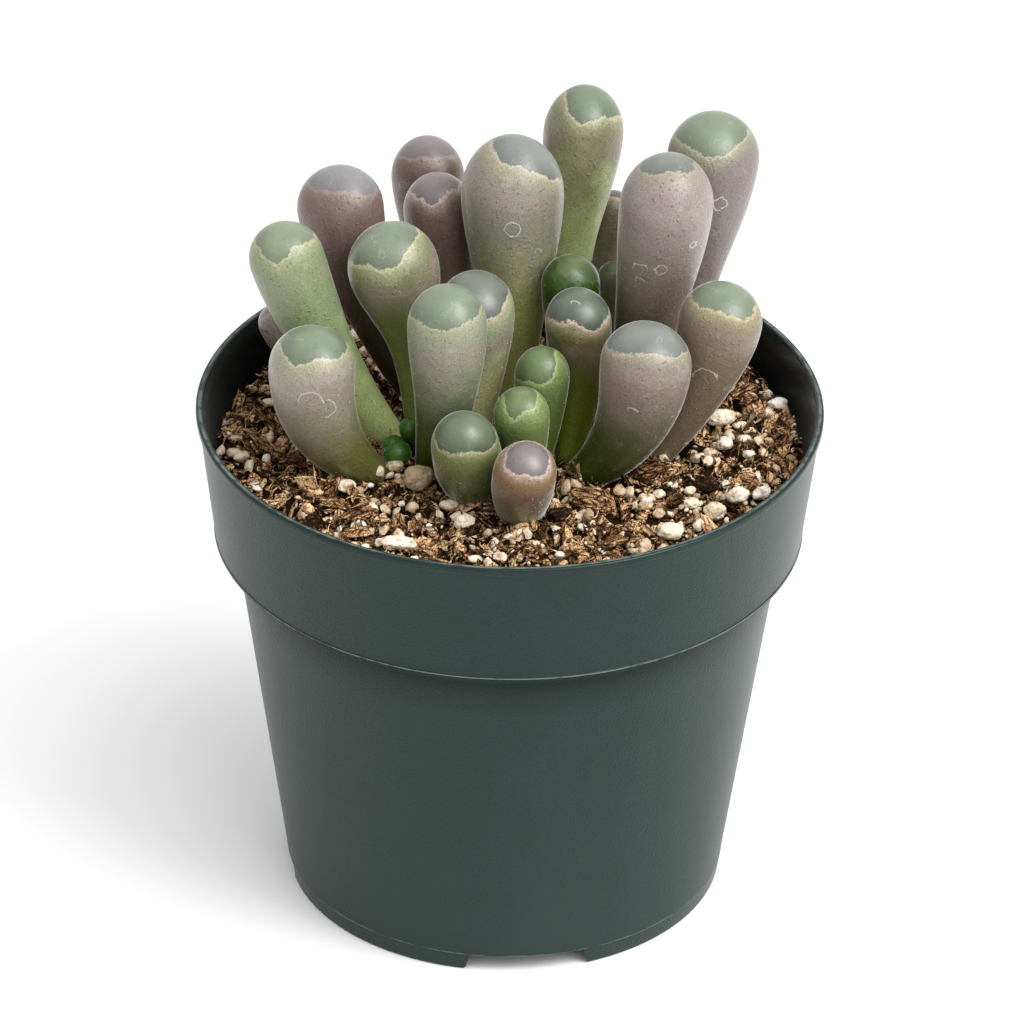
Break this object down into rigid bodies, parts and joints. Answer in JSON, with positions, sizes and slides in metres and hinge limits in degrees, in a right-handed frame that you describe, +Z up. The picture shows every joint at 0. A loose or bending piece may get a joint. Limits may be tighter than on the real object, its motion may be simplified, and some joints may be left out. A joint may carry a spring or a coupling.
{
  "type": "potted baby toes",
  "caption": "Clump of club-shaped window-tipped succulent leaves growing in a filled, tapered round nursery pot with a collar and a notched foot.",
  "frame": {"origin": "on the pot's axis, in the plane of the foot ring's underside that the pot stands on", "axes": "+Z up along the pot's axis, -Y towards the side that the picture is taken from, +X to the right as seen from there"},
  "size_m": [0.08, 0.08, 0.0994],
  "materials": {
    "pot": "fine moulded grain, satin",
    "soil": "loose bark and peat with white perlite grains",
    "mauve_leaf": "smooth waxy skin, finely speckled",
    "olive_leaf": "smooth waxy skin, finely speckled",
    "sage_leaf": "smooth waxy skin, finely speckled",
    "green_leaf": "smooth waxy skin, glossier than the older leaves"
  },
  "bodies": {
    "root": {"pot": "pot", "soil": "soil", "leaf_01": "mauve_leaf", "leaf_02": "sage_leaf", "leaf_03": "olive_leaf", "leaf_04": "olive_leaf", "leaf_05": "green_leaf", "leaf_06": "green_leaf", "leaf_07": "sage_leaf", "leaf_08": "green_leaf", "leaf_09": "green_leaf", "leaf_10": "green_leaf", "leaf_11": "sage_leaf", "leaf_12": "olive_leaf", "leaf_13": "olive_leaf", "leaf_14": "sage_leaf", "leaf_15": "sage_leaf", "leaf_16": "green_leaf", "leaf_17": "olive_leaf", "leaf_18": "mauve_leaf", "leaf_19": "mauve_leaf", "leaf_20": "mauve_leaf", "leaf_21": "mauve_leaf", "leaf_22": "green_leaf", "leaf_23": "green_leaf", "leaf_24": "mauve_leaf", "leaf_25": "mauve_leaf", "leaf_26": "mauve_leaf"}
  },
  "joints": []
}
